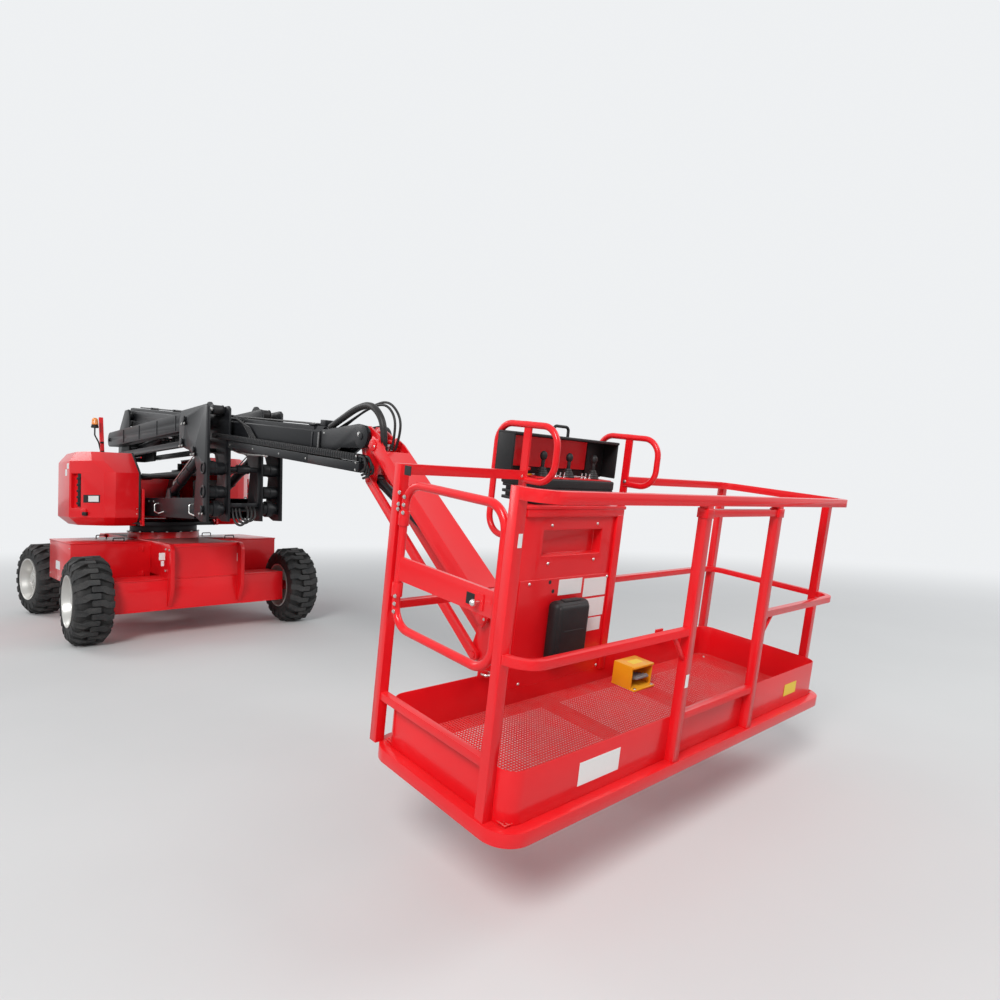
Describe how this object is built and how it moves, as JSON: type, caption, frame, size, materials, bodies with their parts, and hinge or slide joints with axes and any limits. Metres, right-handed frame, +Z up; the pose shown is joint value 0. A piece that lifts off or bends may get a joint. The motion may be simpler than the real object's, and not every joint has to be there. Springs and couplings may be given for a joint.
{
  "type": "articulating boom lift",
  "caption": "Wheeled work platform machine with slewing turntable, folding riser linkage, telescopic boom, jib and railed platform.",
  "frame": {"origin": "on the ground, midway between the front and rear ends, in the plane that holds the boom", "axes": "+X from the counterweight towards the platform, +Y to the machine's left, +Z up"},
  "size_m": [9.3752, 2.6334, 2.7101],
  "materials": {
    "black_paint": "satin",
    "black_plastic": "matte",
    "bright_steel": "polished",
    "cast_iron": "satin",
    "engine_metal": "satin",
    "red_paint": "gloss",
    "silver_paint": "satin",
    "tyre_rubber": "matte"
  },
  "bodies": {
    "chassis": {"chassis_frame": "red_paint", "front_axle": "red_paint", "rear_axle": "red_paint", "side_box_right": "red_paint", "side_box_left": "red_paint", "slew_ring": "black_paint"},
    "front_wheel_right": {"tyre_front_right": "tyre_rubber", "rim_front_right": "silver_paint"},
    "front_wheel_left": {"tyre_front_left": "tyre_rubber", "rim_front_left": "silver_paint"},
    "rear_wheel_right": {"tyre_rear_right": "tyre_rubber", "rim_rear_right": "silver_paint"},
    "rear_wheel_left": {"tyre_rear_left": "tyre_rubber", "rim_rear_left": "silver_paint"},
    "knuckle_right": {"steering_knuckle_right": "black_paint"},
    "knuckle_left": {"steering_knuckle_left": "black_paint"},
    "turntable": {"turntable_frame": "black_paint", "counterweight": "cast_iron", "engine_block": "engine_metal"},
    "hood_right": {"hood_right": "red_paint"},
    "hood_left": {"hood_left": "red_paint"},
    "lower_riser_arm": {"lower_riser_arm": "black_paint"},
    "lower_link": {"lower_link": "black_paint"},
    "knuckle": {"knuckle": "black_paint"},
    "riser_ram_barrel": {"riser_ram_barrel": "black_paint"},
    "riser_ram_rod": {"riser_ram_rod": "bright_steel"},
    "upper_riser_arms": {"upper_riser_arms": "black_paint"},
    "upper_links": {"upper_links": "black_paint"},
    "riser_head": {"riser_head": "black_paint"},
    "main_boom": {"main_boom": "black_paint", "hose_tray": "black_paint"},
    "lift_ram_barrel": {"lift_ram_barrel": "black_paint"},
    "lift_ram_rod": {"lift_ram_rod": "bright_steel"},
    "fly_boom": {"fly_boom": "black_paint"},
    "tip_bracket": {"tip_bracket": "red_paint"},
    "jib_arm": {"jib_arm": "red_paint"},
    "jib_links": {"jib_links": "red_paint"},
    "jib_ram_barrel": {"jib_ram_barrel": "black_paint"},
    "jib_ram_rod": {"jib_ram_rod": "bright_steel"},
    "platform_support": {"platform_support": "red_paint"},
    "platform": {"platform_base": "red_paint", "platform_floor": "red_paint", "toe_boards": "red_paint", "guard_rails": "red_paint", "control_box": "red_paint", "console": "black_plastic"},
    "gate": {"gate": "red_paint"},
    "drop_bar": {"drop_bar": "red_paint"}
  },
  "joints": [
    {"name": "turntable_swing", "type": "hinge", "parent": "chassis", "child": "turntable", "pos_m": [-2.92974, 0, 1.15], "axis": [0, 0, 1], "continuous": true},
    {"name": "front_wheel_right_spin", "type": "hinge", "parent": "chassis", "child": "front_wheel_right", "pos_m": [-1.67374, -1.0755, 0.44], "axis": [0, 1, 0], "continuous": true},
    {"name": "front_wheel_left_spin", "type": "hinge", "parent": "chassis", "child": "front_wheel_left", "pos_m": [-1.67374, 1.0755, 0.44], "axis": [0, 1, 0], "continuous": true},
    {"name": "steer_right", "type": "hinge", "parent": "chassis", "child": "knuckle_right", "pos_m": [-4.18574, -0.75, 0.44], "axis": [0, 0, 1], "range_deg": [-41, 19]},
    {"name": "rear_wheel_right_spin", "type": "hinge", "parent": "knuckle_right", "child": "rear_wheel_right", "pos_m": [-4.12363, -1.06952, 0.44], "axis": [-0.1908, 0.9816, 0], "continuous": true},
    {"name": "steer_left", "type": "hinge", "parent": "chassis", "child": "knuckle_left", "pos_m": [-4.18574, 0.75, 0.44], "axis": [0, 0, 1], "range_deg": [-41, 19]},
    {"name": "rear_wheel_left_spin", "type": "hinge", "parent": "knuckle_left", "child": "rear_wheel_left", "pos_m": [-4.24785, 1.06952, 0.44], "axis": [-0.1908, 0.9816, 0], "continuous": true},
    {"name": "riser_raise", "type": "hinge", "parent": "turntable", "child": "lower_riser_arm", "pos_m": [-3.69974, 0, 1.367], "axis": [0, -1, 0], "range_deg": [0, 65]},
    {"name": "lower_link_swing", "type": "hinge", "parent": "turntable", "child": "lower_link", "pos_m": [-3.68974, 0, 1.755], "axis": [0, -1, 0], "range_deg": [0, 65]},
    {"name": "knuckle_level", "type": "hinge", "parent": "lower_riser_arm", "child": "knuckle", "pos_m": [-0.49974, 0, 1.367], "axis": [0, -1, 0], "range_deg": [-65, 0]},
    {"name": "upper_riser_raise", "type": "hinge", "parent": "knuckle", "child": "upper_riser_arms", "pos_m": [-1.02974, 0, 2.26], "axis": [0, 1, 0], "range_deg": [0, 65]},
    {"name": "upper_link_swing", "type": "hinge", "parent": "knuckle", "child": "upper_links", "pos_m": [-1.08974, 0, 2.04], "axis": [0, 1, 0], "range_deg": [0, 65]},
    {"name": "head_level", "type": "hinge", "parent": "upper_riser_arms", "child": "riser_head", "pos_m": [-4.22974, 0, 2.26], "axis": [0, 1, 0], "range_deg": [-65, 0]},
    {"name": "riser_ram_tilt", "type": "hinge", "parent": "lower_riser_arm", "child": "riser_ram_barrel", "pos_m": [-1.72974, 0, 1.532], "axis": [0, -1, 0], "range_deg": [-12.13, 0]},
    {"name": "riser_ram_slide", "type": "slide", "parent": "riser_ram_barrel", "child": "riser_ram_rod", "axis": [0.9232, 0, 0.3843], "range_m": [0, 0.60995]},
    {"name": "boom_luff", "type": "hinge", "parent": "riser_head", "child": "main_boom", "pos_m": [-4.00974, 0, 2.57], "axis": [0, -1, 0], "range_deg": [0, 75]},
    {"name": "lift_ram_tilt", "type": "hinge", "parent": "riser_head", "child": "lift_ram_barrel", "pos_m": [-3.96974, 0, 2.13], "axis": [0, -1, 0], "range_deg": [0, 63.63]},
    {"name": "lift_ram_slide", "type": "slide", "parent": "lift_ram_barrel", "child": "lift_ram_rod", "axis": [0.9966, 0, 0.0821], "range_m": [0, 0.46175]},
    {"name": "boom_extend", "type": "slide", "parent": "main_boom", "child": "fly_boom", "axis": [0.9923, 0, -0.1236], "range_m": [0, 2]},
    {"name": "tip_level", "type": "hinge", "parent": "fly_boom", "child": "tip_bracket", "pos_m": [1.87054, 0, 1.91618], "axis": [0, -1, 0], "range_deg": [-75, 0]},
    {"name": "jib_raise", "type": "hinge", "parent": "tip_bracket", "child": "jib_arm", "pos_m": [2.03054, 0, 1.84518], "axis": [0, -1, 0], "range_deg": [-15, 90]},
    {"name": "jib_link_swing", "type": "hinge", "parent": "tip_bracket", "child": "jib_links", "pos_m": [1.94054, 0, 1.61018], "axis": [0, -1, 0], "range_deg": [-15, 90]},
    {"name": "platform_level", "type": "hinge", "parent": "jib_arm", "child": "platform_support", "pos_m": [3.18241, 0, 0.80802], "axis": [0, -1, 0], "range_deg": [-90, 15]},
    {"name": "jib_ram_tilt", "type": "hinge", "parent": "tip_bracket", "child": "jib_ram_barrel", "pos_m": [1.94054, 0, 1.61018], "axis": [0, -1, 0], "range_deg": [-13.22, 79.35]},
    {"name": "jib_ram_slide", "type": "slide", "parent": "jib_ram_barrel", "child": "jib_ram_rod", "axis": [0.8677, 0, -0.4972], "range_m": [-0.05116, 0.30696]},
    {"name": "platform_rotate", "type": "hinge", "parent": "platform_support", "child": "platform", "pos_m": [3.43139, 0, 0.55635], "axis": [0.1444, 0, 0.9895], "range_deg": [-80, 80]},
    {"name": "gate_swing", "type": "hinge", "parent": "platform", "child": "gate", "pos_m": [3.86284, -1.153, 0.97848], "axis": [0.1444, 0, 0.9895], "range_deg": [0, 85]},
    {"name": "drop_bar_slide", "type": "slide", "parent": "platform", "child": "drop_bar", "axis": [0.1444, 0, 0.9895], "range_m": [-0.43, 0]},
    {"name": "hood_right_lift", "type": "hinge", "parent": "turntable", "child": "hood_right", "pos_m": [-2.92974, -0.41, 1.933], "axis": [-1, 0, 0], "range_deg": [0, 70]},
    {"name": "hood_left_lift", "type": "hinge", "parent": "turntable", "child": "hood_left", "pos_m": [-2.92974, 0.41, 1.933], "axis": [1, 0, 0], "range_deg": [0, 70]}
  ],
  "couplings": [
    {"joint": "steer_left", "follows": "steer_right", "ratio": 1},
    {"joint": "lower_link_swing", "follows": "riser_raise", "ratio": 1},
    {"joint": "knuckle_level", "follows": "riser_raise", "ratio": -1},
    {"joint": "upper_riser_raise", "follows": "riser_raise", "ratio": 1},
    {"joint": "upper_link_swing", "follows": "riser_raise", "ratio": 1},
    {"joint": "head_level", "follows": "riser_raise", "ratio": -1},
    {"joint": "riser_ram_tilt", "follows": "riser_raise", "ratio": -0.18667},
    {"joint": "riser_ram_slide", "follows": "riser_raise", "m_per_rad": 0.53765},
    {"joint": "lift_ram_tilt", "follows": "boom_luff", "ratio": 0.8484},
    {"joint": "lift_ram_slide", "follows": "boom_luff", "m_per_rad": 0.35275},
    {"joint": "tip_level", "follows": "boom_luff", "ratio": -1},
    {"joint": "jib_link_swing", "follows": "jib_raise", "ratio": 1},
    {"joint": "platform_level", "follows": "jib_raise", "ratio": -1},
    {"joint": "jib_ram_tilt", "follows": "jib_raise", "ratio": 0.88162},
    {"joint": "jib_ram_slide", "follows": "jib_raise", "m_per_rad": 0.19542}
  ]
}
